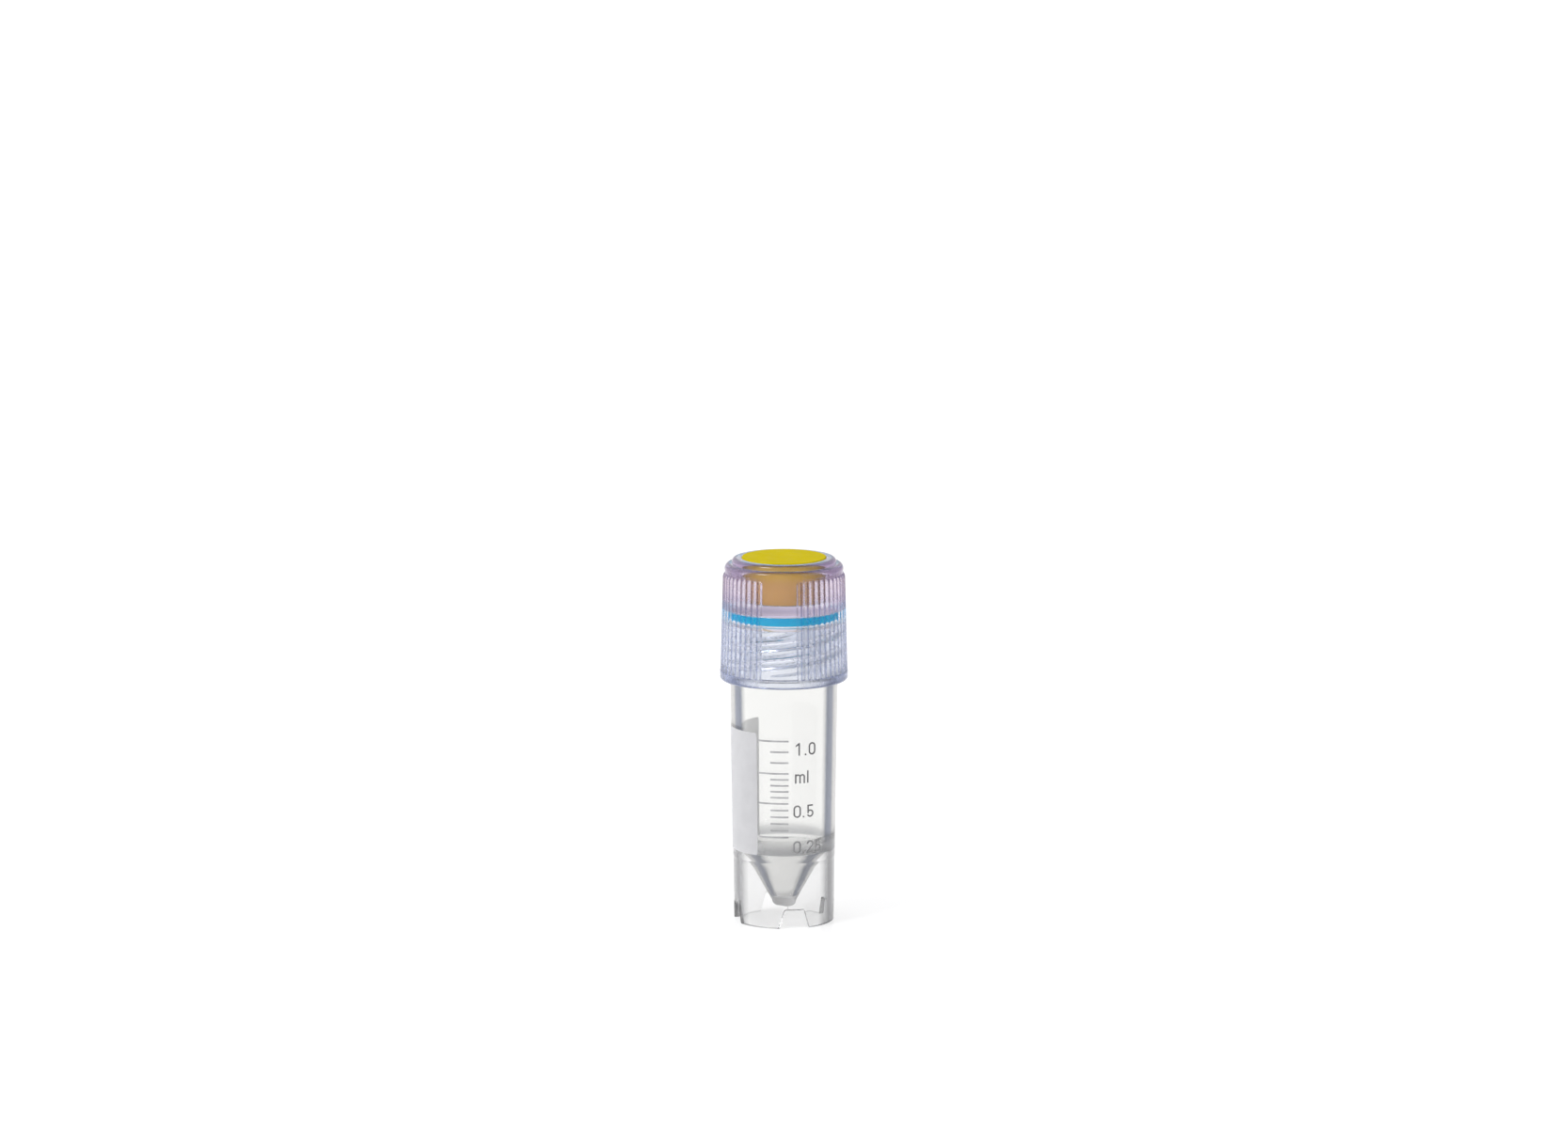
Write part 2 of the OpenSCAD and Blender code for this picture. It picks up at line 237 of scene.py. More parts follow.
def mesh_piece(name, points, faces, sharp_angle=40):
    """A smooth-shaded mesh object from points in millimetres."""
    mesh = bpy.data.meshes.new(name)
    mesh.from_pydata((np.asarray(points) * MM).tolist(), [], faces)
    mesh.validate()
    mesh.shade_smooth()
    mesh.set_sharp_from_angle(angle=math.radians(sharp_angle))
    piece = bpy.data.objects.new(name, mesh)
    bpy.context.scene.collection.objects.link(piece)
    return piece


def lathe(name, outline, angles, shape=None, closed=False, sharp_angle=40):
    """Turns an outline of (r, z) points round the axis, anticlockwise seen with r to the right.

    An open outline starts and ends on the axis. shape(r, z, angle) may move the points of
    every column, which gives the threads, ribs and notches.
    """
    outline = np.array(outline)
    rows = outline if closed else outline[1:-1]
    r, angle = np.meshgrid(rows[:, 0], np.radians(angles), indexing="ij")
    z = np.meshgrid(rows[:, 1], angles, indexing="ij")[0]
    if shape:
        r, z = shape(r, z, np.degrees(angle))
    points = np.stack([r * np.cos(angle), r * np.sin(angle), z], -1).reshape(-1, 3)
    n_rows, n_cols = r.shape
    last_row = n_rows if closed else n_rows - 1
    faces = []
    for i in range(last_row):
        here, above = i * n_cols, (i + 1) % n_rows * n_cols
        for k in range(n_cols):
            right = (k + 1) % n_cols
            faces.append((here + k, here + right, above + right, above + k))
    if not closed:
        points = np.vstack([points, (0, 0, outline[0, 1]), (0, 0, outline[-1, 1])])
        first_pole, last_pole = len(points) - 2, len(points) - 1
        top = (n_rows - 1) * n_cols
        for k in range(n_cols):
            right = (k + 1) % n_cols
            faces.append((first_pole, right, k))
            faces.append((last_pole, top + k, top + right))
    return mesh_piece(name, points, faces, sharp_angle)


# ---- thread --------------------------------------------------------------------------

def ridge_height(z, angle, turned):
    """How far the thread's ridges stand out, from 0 to 1, at height z and an angle."""
    height = np.zeros_like(z)
    sweep = 360 * RIDGE_TURNS
    for start in range(STARTS):
        for lap in range(math.ceil(RIDGE_TURNS)):
            along = (angle - turned - 360 * start / STARTS) % 360 + 360 * lap
            off = np.abs(z - THREAD_Z - LEAD * along / 360)
            flank = eased((RIDGE_ROOT / 2 - off) / ((RIDGE_ROOT - RIDGE_CREST) / 2), 0.15, 0.3)
            grown = eased(np.minimum(along, sweep - along) / RIDGE_FADE, 0.2, 0.2)
            height = np.maximum(height, np.where(along <= sweep, flank * grown, 0))
    return height


# ---- tube ----------------------------------------------------------------------------

def tube_outline():
    """The tube's section, from under the tip round the outside to the floor inside."""
    tip_z = FLOOR_Z - FLOOR_T
    tip_r = FLOOR_R + CONE_ACROSS + CONE_TAPER * (tip_z + TIP_ROUND - FLOOR_Z)
    cone_top, cone_floor = (CONE_TOP_R, CONE_TOP_Z), (FLOOR_R, FLOOR_Z)
    mouth = (MOUTH_R, RIM_Z)
    hub_r = 0.3                         # the tip's and the well's flat faces start their rows here
    tip = arc(tip_r - TIP_ROUND, tip_z + TIP_ROUND, TIP_ROUND, -90, 0, 8)
    inside_top = fillet(tip[-1], (SKIRT_R, SKIRT_TOP_Z), (SKIRT_R, 0), SKIRT_ROUND)
    foot_in = arc(SKIRT_R + SKIRT_ROUND, SKIRT_ROUND, SKIRT_ROUND, 180, 270)
    foot_out = arc(FOOT_R - SKIRT_ROUND, SKIRT_ROUND, SKIRT_ROUND, -90, 0)
    bead = [
        (body_r(PARTING_Z) + out, PARTING_Z + up)
        for out, up in ((0, -BEAD_HALF), (BEAD_HEIGHT, 0), (0, BEAD_HALF))
    ]
    shoulder = arc(body_r(SHOULDER_Z) - SHOULDER_ROUND, SHOULDER_Z - SHOULDER_ROUND, SHOULDER_ROUND, 0, 90)
    neck = fillet(shoulder[-1], (NECK_R, SHOULDER_Z), (NECK_R, RIM_Z), NECK_ROUND, 4)
    lip = arc(NECK_R - LIP_ROUND, RIM_Z - LIP_ROUND, LIP_ROUND, 0, 90)
    inner_lip = arc(MOUTH_R + MOUTH_ROUND, RIM_Z - MOUTH_ROUND, MOUTH_ROUND, 90, 180, 4)
    cone = fillet(mouth, cone_top, cone_floor, CONE_ROUND, 8)
    well = fillet(cone_top, cone_floor, (0, FLOOR_Z), WELL_ROUND)
    return [
        (0, tip_z), *line((hub_r, tip_z), tip[0], 3),
        *tip, *line(tip[-1], inside_top[0], 10)[1:],
        *inside_top, *line(inside_top[-1], (SKIRT_R, NOTCH_REACH), 8)[1:],
        *line((SKIRT_R, NOTCH_REACH), foot_in[0], 10),
        *foot_in, *line(foot_in[-1], foot_out[0], 4)[1:],
        *foot_out, *line(foot_out[-1], (body_r(NOTCH_REACH), NOTCH_REACH), 10)[1:],
        *line((body_r(NOTCH_REACH), NOTCH_REACH), bead[0], 8),
        *bead, *line(bead[-1], shoulder[0], 26)[1:],
        *shoulder, *line(shoulder[-1], neck[0], 2)[1:],
        *neck, *line(neck[-1], lip[0], 62)[1:],
        *lip, *line(lip[-1], inner_lip[0], 2)[1:],
        *inner_lip, *line(inner_lip[-1], cone[0], 22)[1:],
        *cone, *line(cone[-1], well[0], 12)[1:],
        *well, (hub_r, FLOOR_Z), (0, FLOOR_Z),
    ]


def notch_edge(r, angle):
    """Height of the foot's lower edge at a radius and angle."""
    step = 360 / NOTCH_COUNT
    off = (angle - NOTCH_TURN + step / 2) % step - step / 2
    across = np.abs(r * np.sin(np.radians(off)))
    up_side = (NOTCH_BASE - across) / (NOTCH_BASE - NOTCH_TOP)
    return NOTCH_HEIGHT * eased(up_side, NOTCH_BASE_SOFT, NOTCH_TOP_SOFT)


def shape_tube(r, z, angle):
    """Cuts the notches into the skirt and winds the thread round the neck."""
    edge = notch_edge(r, angle)
    squeeze = (NOTCH_REACH - edge - FOOT_KEPT) / (NOTCH_REACH - FOOT_KEPT)
    in_skirt = (z < NOTCH_REACH) & (r > SKIRT_R - NEAR)
    bent = np.where(z < FOOT_KEPT, z + edge, edge + FOOT_KEPT + (z - FOOT_KEPT) * squeeze)
    on_neck = (z > SHOULDER_Z + NEAR) & (z < RIM_Z - LIP_ROUND - 2 * NEAR) & (r > NECK_R - NEAR)
    ridge = RIDGE_DEPTH * ridge_height(z, angle, TUBE_THREAD_TURN)
    return np.where(on_neck, r + ridge, r), np.where(in_skirt, bent, z)


def tube_angles():
    """Evenly spaced columns, and closer ones along the sides of the notches."""
    slope = NOTCH_BASE - NOTCH_TOP
    inner = math.degrees(math.asin((NOTCH_TOP - NOTCH_TOP_SOFT * slope) / FOOT_R))
    outer = math.degrees(math.asin((NOTCH_BASE + NOTCH_BASE_SOFT * slope) / SKIRT_R)) + FINE_STEP
    step = 360 / NOTCH_COUNT
    side = np.arange(inner, outer, FINE_STEP)
    sides = np.concatenate([side, -side])
    fine = [(NOTCH_TURN + step * k + sides) % 360 for k in range(NOTCH_COUNT)]
    plain = np.arange(0, 360, COLUMN_STEP)
    off = np.abs((plain - NOTCH_TURN + step / 2) % step - step / 2)
    room = 0.3                          # between a plain column and the fine ones, at least
    return np.sort(np.concatenate([plain[(off < inner - room) | (off > outer + room)], *fine]))


def make_tube():
    """Neck with thread, body, inner cone and notched skirt, in one piece."""
    return lathe("clear_tube", tube_outline(), tube_angles(), shape_tube)


# ---- cap -----------------------------------------------------------------------------

def cap_outline():
    """The cap's section, from under the web down the chamber, up the outside and into the recess."""
    pocket_r = GASKET_R - SINK
    recess_r = INSERT_R + INSERT_GAP
    wall_foot, wall_top = (WALL_LOW_R, FLANGE_TOP_Z), (WALL_TOP_R, RIB_TOP_Z)
    # the wall's rows lie closest above wall_high, where the ribs end
    wall_low, wall_high = (WALL_LOW_R - 0.03, FLANGE_TOP_Z + 1), (WALL_TOP_R + 0.03, RIB_TOP_Z - 0.6)
    pocket_low = (pocket_r, POCKET_LOW_Z)
    chamber_top, chamber_low = (CHAMBER_R, CHAMBER_TOP_Z), (CHAMBER_R, CHAMBER_LOW_Z)
    pocket_corner = arc(pocket_r - POCKET_ROUND, WEB_Z - POCKET_ROUND, POCKET_ROUND, 90, 0, 3)
    flange_low = arc(FLANGE_R - FLANGE_ROUND, CAP_Z + FLANGE_ROUND, FLANGE_ROUND, -90, 0)
    flange_middle = (FLANGE_R - FLANGE_TOP_ROUND, FLANGE_TOP_Z - FLANGE_TOP_ROUND)
    flange_top = arc(*flange_middle, FLANGE_TOP_ROUND, 0, 90, 4)
    corner = fillet(flange_top[-1], wall_foot, wall_top, WALL_FOOT_ROUND, 3)
    ring = arc(LOWER_RING_R, LOWER_RING_Z, LOWER_RING_ROUND, 0, 80, 10)
    crease = (UPPER_RING_R, CREASE_Z)
    upper = arc(UPPER_RING_R - UPPER_RING_ROUND, UPPER_RING_Z, UPPER_RING_ROUND, -5, 78, 9)
    edge = arc(recess_r + EDGE_ROUND, CAP_TOP_Z - EDGE_ROUND, EDGE_ROUND, 90, 180, 4)
    recess_foot = (recess_r - INSERT_DRAFT, RECESS_Z)
    floor = fillet(edge[-1], recess_foot, (0, RECESS_Z), RECESS_FLOOR_ROUND, 4)
    return [
        (0, WEB_Z), *line((AXIS_R, WEB_Z), (pocket_r - POCKET_ROUND, WEB_Z), 6),
        *pocket_corner, *line((pocket_r, WEB_Z - 2 * POCKET_ROUND), pocket_low, 5),
        *line(pocket_low, chamber_top, 4),
        *line(chamber_top, chamber_low, 62),
        *line(chamber_low, (CHAMBER_R + LEAD_IN * 2 / 3, CAP_Z + LEAD_IN / 3), 3),
        *line((CHAMBER_R + LEAD_IN, CAP_Z), flange_low[0], 2),
        *flange_low, *line(flange_low[-1], flange_top[0], 2)[1:],
        *flange_top, *line(flange_top[-1], corner[0], 1)[1:],
        *corner, *line(corner[-1], wall_low, 2)[1:],
        *line(wall_low, wall_high, 12),
        *line(wall_high, (WALL_TOP_R, RIB_TOP_Z + 0.1), 8),
        *ring, *line(ring[-1], crease, 2)[1:],
        crease, *upper,
        *line(upper[-1], edge[0], 3)[1:],
        *edge, *line(edge[-1], floor[0], 8)[1:],
        *floor, *line(floor[-1], (AXIS_R, RECESS_Z), 5)[1:],
        (AXIS_R, RECESS_Z), (0, RECESS_Z),
    ]


def rib_offset(angle):
    """Signed angle to the middle of the nearest rib, or far away within a smooth window."""
    apart = 360 / GROUPS
    off = (angle - GROUP_TURN + apart / 2) % apart - apart / 2
    step = 360 / RIB_DIVISIONS
    nearest = np.round(off / step)
    return np.where(np.abs(nearest) <= (RIBS_PER_GROUP - 1) / 2, off - nearest * step, apart)


def shape_cap(r, z, angle):
    """Raises the ribs on the wall and winds the thread inside the chamber."""
    across = np.abs(np.radians(rib_offset(angle)) * r)
    rib = eased((RIB_BASE / 2 - across) / ((RIB_BASE - RIB_TIP) / 2), 0.2, 0.35)
    ends = eased((RIB_TOP_Z - z) / RIB_END, 0.1, 0.5)
    on_wall = (z > FLANGE_TOP_Z - 0.001) & (z < RIB_TOP_Z + NEAR) & (r > WALL_TOP_R - 0.01)
    on_wall &= r < FLANGE_R - FLANGE_TOP_ROUND - 0.01
    in_chamber = (z > CHAMBER_LOW_Z - NEAR) & (z < CHAMBER_TOP_Z + NEAR) & (np.abs(r - CHAMBER_R) < 0.01)
    ridge = RIDGE_DEPTH * ridge_height(z, angle, CAP_THREAD_TURN)
    ribbed = np.minimum(r + RIB_HEIGHT * rib * ends, FLANGE_R - RIB_INSET)
    return np.where(in_chamber, r - ridge, np.where(on_wall, ribbed, r)), z


def cap_angles():
    """Columns that follow both flanks of every rib, with plain ones across the windows."""
    step = 360 / RIB_DIVISIONS
    # degrees from a rib's middle, from halfway to the rib before it
    flank = np.array([-3.2, -2.65, -2.25, -1.85, -1.45, -1.1, 1.1, 1.45, 1.85, 2.25, 2.65])
    half = (RIBS_PER_GROUP - 1) // 2
    ribs = np.concatenate([flank + step * k for k in range(-half, half + 1)])
    apart = 360 / GROUPS
    edge = half * step + step / 2
    window_step = 1.2
    window = np.arange(edge, apart - edge, window_step)
    group = np.concatenate([ribs, window])
    turned = [GROUP_TURN + apart * k + group for k in range(GROUPS)]
    return np.sort(np.concatenate(turned) % 360)


def make_cap():
    """Ribbed wall, flange, threaded chamber, web and top recess, in one piece."""
    return lathe("clear_cap", cap_outline(), cap_angles(), shape_cap)


# ---- gasket, insert and print --------------------------------------------------------

def make_gasket():
    """A flat ring with rounded edges, between the tube's rim and the cap's web."""
    low, high = RIM_Z + 0.005, WEB_Z - 0.02
    outside, inside = GASKET_R - SOFT, GASKET_HOLE_R + SOFT
    outline = [
        *arc(outside, low + SOFT, SOFT, -90, 0),
        *arc(outside, high - SOFT, SOFT, 0, 90),
        *line((outside - SOFT, high), (inside + SOFT, high), 4),
        *arc(inside, high - SOFT, SOFT, 90, 180),
        *arc(inside, low + SOFT, SOFT, 180, 270),
        *line((inside + SOFT, low), (outside - SOFT, low), 4),
    ]
    return lathe("blue_gasket", outline, np.arange(0, 360, COLUMN_STEP), closed=True)


def make_insert():
    """A cup, open below, whose closed top is the coloured disc."""
    low, high = INSERT_LOW[2] + 0.01, INSERT_HIGH[2]
    low_r = INSERT_R - INSERT_DRAFT
    inner_r, inner_z, inner_round = low_r - INSERT_WALL, high - INSERT_TOP_T, 0.2
    outline = [
        (0, inner_z), *line((AXIS_R, inner_z), (inner_r - inner_round, inner_z), 5),
        *arc(inner_r - inner_round, inner_z - inner_round, inner_round, 90, 0),
        *line((inner_r, inner_z - inner_round - 0.1), (inner_r, low + SOFT), 6),
        *arc(inner_r + SOFT, low + SOFT, SOFT, 180, 270),
        *arc(low_r - SOFT, low + SOFT, SOFT, -90, 0),
        *line((low_r, low + 2 * SOFT), (INSERT_R, high - 2 * SOFT), 8),
        *arc(INSERT_R - SOFT, high - SOFT, SOFT, 0, 90),
        *line((INSERT_R - 2 * SOFT, high), (AXIS_R, high), 10),
        (AXIS_R, high), (0, high),
    ]
    return lathe("colour_insert", outline, np.arange(0, 360, COLUMN_STEP))


def make_patch():
    """The writing patch: a skin of ink on the tube's outside, with softly rounded corners."""
    low, high = PATCH_LOW[2], PATCH_HIGH[2]
    middle, half_arc = math.radians(PATCH_TURN), math.radians(PATCH_ARC / 2)
    rows, columns = 57, 116
    across = np.linspace(-half_arc, half_arc, columns)
    angle, z = np.meshgrid(middle + across, np.linspace(low, high, rows))
    depth = np.maximum(0, SOFT - np.minimum(z - low, high - z))
    inset = SOFT - np.sqrt(np.maximum(0, SOFT ** 2 - depth ** 2))
    squeeze = 1 - inset / (body_r(z) * half_arc)
    angle = middle + (angle - middle) * squeeze
    skins = []
    for out in (-SINK, INK_T):
        r = body_r(z) + out
        skins.append(np.stack([r * np.cos(angle), r * np.sin(angle), z], -1).reshape(-1, 3))
    count = rows * columns
    faces = []
    for i in range(rows - 1):
        for k in range(columns - 1):
            a, b = i * columns + k, (i + 1) * columns + k
            faces.append((a, b, b + 1, a + 1))
            faces.append((count + a, count + a + 1, count + b + 1, count + b))
    loop = [*range(columns - 1), *range(columns - 1, count - 1, columns)]
    loop += [*range(count - 1, count - columns, -1), *range(count - columns, 0, -columns)]
    for a, b in zip(loop, loop[1:] + loop[:1]):
        faces.append((a, b, count + b, count + a))
    return mesh_piece("patch_ink", np.vstack(skins), faces)


# ---- materials -----------------------------------------------------------------------

class Nodes:
    """A material's node tree, with a short way to add nodes and link them."""

    def __init__(self, name):
        self.material = bpy.data.materials.new(name)
        self.material.use_nodes = True
        self.tree = self.material.node_tree
        self.shader = self.tree.nodes["Principled BSDF"]

    def add(self, kind, inputs=None, **settings):
        node = self.tree.nodes.new(kind)
        for key, value in settings.items():
            setattr(node, key, value)
        for socket, value in (inputs or {}).items():
            if isinstance(value, bpy.types.NodeSocket):
                self.tree.links.new(value, node.inputs[socket])
            else:
                node.inputs[socket].default_value = value
        return node

    def ramp(self, factor, stops):
        node = self.add("ShaderNodeValToRGB", {"Fac": factor})
        elements = node.color_ramp.elements
        while len(elements) < len(stops):
            elements.new(0.5)
        for element, (position, colour) in zip(elements, stops):
            element.position = position
            element.color = (*colour, 1)
        return node.outputs["Color"]

    def noise(self, scale, detail=3.0):
        place = self.add("ShaderNodeTexCoord").outputs["Object"]
        return self.add(
            "ShaderNodeTexNoise", {"Vector": place, "Scale": scale, "Detail": detail}
        ).outputs["Fac"]

    def math(self, operation, a, b=0.0, c=0.0):
        return self.add("ShaderNodeMath", {0: a, 1: b, 2: c}, operation=operation).outputs[0]

    def times(self, *factors):
        """Product of two or more values."""
        product = factors[0]
        for factor in factors[1:]:
            product = self.math("MULTIPLY", product, factor)
        return product

    def off(self, value, middle):
        """How far a value is from a middle one."""
        return self.math("ABSOLUTE", self.math("SUBTRACT", value, middle))

    def grain(self, scale, strength=0.4, depth=0.00002):
        """Normal of a surface with a fine noise pressed into it."""
        height = self.noise(scale, 2)
        inputs = {"Height": height, "Strength": strength, "Distance": depth}
        return self.add("ShaderNodeBump", inputs).outputs["Normal"]

    def spread(self, value, low, high, start=0.3, end=0.7):
        """Maps a value that goes from start to end on to low to high, with eased ends."""
        return self.add(
            "ShaderNodeMapRange",
            {"Value": value, "From Min": start, "From Max": end, "To Min": low, "To Max": high},
            interpolation_type="SMOOTHSTEP",
        ).outputs["Result"]

    def mix(self, factor, a, b):
        return self.add("ShaderNodeMix", {0: factor, 6: a, 7: b}, data_type="RGBA").outputs[2]

    def height(self):
        place = self.add("ShaderNodeTexCoord").outputs["Object"]
        return self.add("ShaderNodeSeparateXYZ", {"Vector": place}).outputs["Z"]

    def across(self, turn):
        """Distance along the direction at an angle from +X."""
        place = self.add("ShaderNodeTexCoord").outputs["Object"]
        way = (math.cos(math.radians(turn)), math.sin(math.radians(turn)), 0)
        return self.vector("DOT_PRODUCT", place, way).outputs["Value"]

    def from_axis(self):
        """Distance from the vial's axis, and whether the surface faces away from it."""
        radius = self.vector("LENGTH", self.flat_place()).outputs["Value"]
        return radius, self.math("GREATER_THAN", self.away_by(), 0.5 * MM)

    def flat_place(self):
        """The place on the surface, brought down to the floor's plane."""
        place = self.add("ShaderNodeTexCoord").outputs["Object"]
        return self.vector("MULTIPLY", place, (1, 1, 0)).outputs["Vector"]

    def away_by(self):
        """The radius times how squarely the surface faces away from the axis."""
        normal = self.add("ShaderNodeTexCoord").outputs["Normal"]
        return self.vector("DOT_PRODUCT", self.flat_place(), normal).outputs["Value"]

    def vector(self, operation, a, b=(0, 0, 0)):
        return self.add("ShaderNodeVectorMath", {0: a, 1: b}, operation=operation)

    def facing(self):
        """How edge-on the surface is seen, from 0 to 1."""
        return self.add("ShaderNodeLayerWeight", {"Blend": 0.5}).outputs["Facing"]

    def finish(self, **sockets):
        """Sets the shader's sockets; spaces in their names are written as underscores."""
        for key, value in sockets.items():
            socket = self.shader.inputs[key.replace("_", " ")]
            if isinstance(value, bpy.types.NodeSocket):
                self.tree.links.new(value, socket)
            else:
                socket.default_value = value
        return self.material


def clear_plastic(nodes, shaded_tint, roughness, clearness):
    """Finishes clear moulded plastic in a tint that carries painted shade, with faint flow waves and
    scuffs.
    """
    return nodes.finish(
        Base_Color=shaded_tint,
        Roughness=nodes.times(roughness, nodes.spread(nodes.noise(900), 0.7, 1.3)),
        IOR=1.49,
        Transmission_Weight=clearness,
        Normal=nodes.grain(260, 0.05, 0.0001),
    )


def tube_plastic():
    """Clear, with painted shade in its colour: dark stripes where the wall is seen edge-on, blue-grey on
    the body and grey on the skirt, a grey band where the body meets the cone, and greyer notch sides and
    tip; a matt inner cone.
    """
    nodes = Nodes("tube_plastic")
    radius, away = nodes.from_axis()
    z = nodes.height()
    on_body = nodes.math("LESS_THAN", z, SHOULDER_Z * MM)
    on_skirt = nodes.times(
        nodes.math("LESS_THAN", z, SKIRT_TOP_Z * MM),
        nodes.math("GREATER_THAN", radius, (SKIRT_R - 2 * NEAR) * MM),
    )
    # painted shade: dark stripes in the colour where the clear wall is seen edge-on
    edge_on_shade = nodes.times(nodes.facing(), away, on_body)
    body_edge_shade = nodes.ramp(edge_on_shade, [
        (0.32, (0.91, 0.91, 0.90)), (0.42, (0.06, 0.07, 0.105)),
        (0.585, (0.065, 0.075, 0.11)), (0.64, (0.34, 0.33, 0.325)),
    ])
    skirt_edge_shade = nodes.ramp(edge_on_shade, [
        (0.3, (0.89, 0.89, 0.89)), (0.45, (0.24, 0.24, 0.25)),
        (0.57, (0.08, 0.08, 0.085)), (0.9, (0.24, 0.24, 0.25)),
    ])
    shaded_tint = nodes.mix(on_skirt, body_edge_shade, skirt_edge_shade)
    # painted shade: the notches' cut sides are greyer
    notch_side_shade = nodes.times(
        nodes.math("LESS_THAN", z, (NOTCH_HEIGHT + 2 * NEAR) * MM),
        nodes.math("LESS_THAN", nodes.math("ABSOLUTE", nodes.away_by()), 3 * MM),
        on_skirt,
    )
    shaded_tint = nodes.mix(notch_side_shade, shaded_tint, (0.45, 0.45, 0.46, 1))
    # painted shade: a grey band round the outside where the body meets the inner cone
    junction_shade = nodes.times(
        nodes.spread(z, 0, 1, (SKIRT_TOP_Z - 0.35) * MM, (SKIRT_TOP_Z - 0.15) * MM),
        nodes.spread(z, 1, 0, SKIRT_TOP_Z * MM, (CONE_TOP_Z + 0.6) * MM),
        nodes.math("GREATER_THAN", radius, 5.2 * MM),
    )
    shaded_tint = nodes.mix(junction_shade, shaded_tint, (0.27, 0.275, 0.29, 1))
    # painted shade: the tip under the cone is greyer
    tip = nodes.times(
        nodes.math("LESS_THAN", z, FLOOR_Z * MM),
        nodes.math("LESS_THAN", radius, 2.5 * MM),
    )
    shaded_tint = nodes.mix(tip, shaded_tint, (0.6, 0.6, 0.61, 1))
    cone_r = nodes.math("MULTIPLY_ADD", z, CONE_TAPER, (FLOOR_R - FLOOR_Z * CONE_TAPER) * MM)
    on_cone = nodes.times(
        nodes.spread(z, 1, 0, CONE_TOP_Z * MM, (CONE_TOP_Z + 1) * MM),
        nodes.spread(nodes.off(radius, cone_r), 1, 0, 0.2 * MM, 0.6 * MM),
    )
    return clear_plastic(nodes, shaded_tint, nodes.spread(on_cone, 0.03, 0.2, 0, 1), 0.99)


def cap_plastic():
    """Lavender, bluer lower down, with painted shade in its colour: darker where the wall is seen edge-on
    and in a darker band at the web; a painted blue reflection of the gasket at the edges beside it; hazy
    ribbed sides and two clear smooth windows.
    """
    nodes = Nodes("cap_plastic")
    away = nodes.from_axis()[1]
    z = nodes.height()
    # painted shade: every zone darkens where the wall is seen edge-on, and the web's band is darker all
    # over
    edge_on_shade = nodes.times(away, nodes.facing())
    upper = nodes.ramp(edge_on_shade, [(0.06, (0.86, 0.75, 0.87)), (0.33, (0.16, 0.10, 0.22))])
    web_shade = nodes.ramp(edge_on_shade, [(0.08, (0.50, 0.44, 0.61)), (0.34, (0.12, 0.13, 0.28))])
    lower_with_edge_shade = nodes.ramp(edge_on_shade, [(0.05, (0.85, 0.88, 0.97)), (0.4, (0.29, 0.34, 0.58))])
    # painted reflection: the wall beside the gasket turns gasket-blue where it is seen edge-on
    gasket_reflection = nodes.ramp(edge_on_shade, [(0.1, (0.93, 0.96, 0.99)), (0.45, (0.22, 0.50, 0.88))])
    above_web = nodes.spread(z, 0, 1, (WEB_Z - 0.1) * MM, (WEB_Z + 0.1) * MM)
    in_recess = nodes.spread(z, 0, 1, (RECESS_Z - 0.3) * MM, (RECESS_Z + 0.3) * MM)
    shaded_tint = nodes.mix(in_recess, nodes.mix(above_web, lower_with_edge_shade, web_shade), upper)
    off_gasket = nodes.off(z, (RIM_Z + WEB_Z) / 2 * MM)
    at_gasket = nodes.spread(off_gasket, 1, 0, 0.5 * MM, 0.8 * MM)
    shaded_tint = nodes.mix(at_gasket, shaded_tint, gasket_reflection)
    from_window = nodes.math("ABSOLUTE", nodes.across(GROUP_TURN))
    ribbed = nodes.times(
        nodes.spread(from_window, 0, 1, 1.9 * MM, 2.4 * MM),
        away,
        nodes.math("LESS_THAN", z, RIB_TOP_Z * MM),
    )
    hazy = nodes.times(ribbed, nodes.spread(at_gasket, 1, 0, 0, 1))
    full = nodes.spread(at_gasket, 0.99, 1, 0, 1)
    clearness = nodes.math("SUBTRACT", full, nodes.times(hazy, 0.12))
    return clear_plastic(nodes, shaded_tint, nodes.spread(ribbed, 0.05, 0.25, 0, 1), clearness)


def satin(name, dark, light, roughness, scale, grain, gloss=0.5, subsurface=0.0):
    """Opaque plastic, silicone or ink, mottled between two close colours, with a fine grain."""
    nodes = Nodes(name)
    return nodes.finish(
        Base_Color=nodes.ramp(nodes.noise(scale), [(0.3, dark), (0.7, light)]),
        Roughness=nodes.spread(nodes.noise(scale * 2), roughness * 0.85, roughness * 1.15),
        IOR=1.45,
        Specular_IOR_Level=gloss,
        Subsurface_Weight=subsurface,
        Subsurface_Radius=(1, 1, 1),
        Subsurface_Scale=0.5 * MM,
        Normal=nodes.grain(grain),
    )


def number_ink():
    """Grey ink: light in the lines, heavy in the numbers beside them, in between in the lowest one."""
    nodes = Nodes("scale_ink")
    mottle = nodes.noise(500)
    lines = nodes.ramp(mottle, [(0.3, (0.30, 0.30, 0.31)), (0.7, (0.50, 0.50, 0.51))])
    numbers = nodes.ramp(mottle, [(0.3, (0.10, 0.10, 0.105)), (0.7, (0.20, 0.20, 0.205))])
    right = nodes.spread(nodes.across(0), 0, 1, 0.7 * MM, 0.9 * MM)
    high = nodes.spread(nodes.height(), 0.5, 1, 9.5 * MM, 11 * MM)
    return nodes.finish(
        Base_Color=nodes.mix(nodes.times(right, high), lines, numbers),
        Roughness=nodes.spread(nodes.noise(1000), 0.5, 0.7),
        Specular_IOR_Level=0.3,
        Normal=nodes.grain(6000),
    )


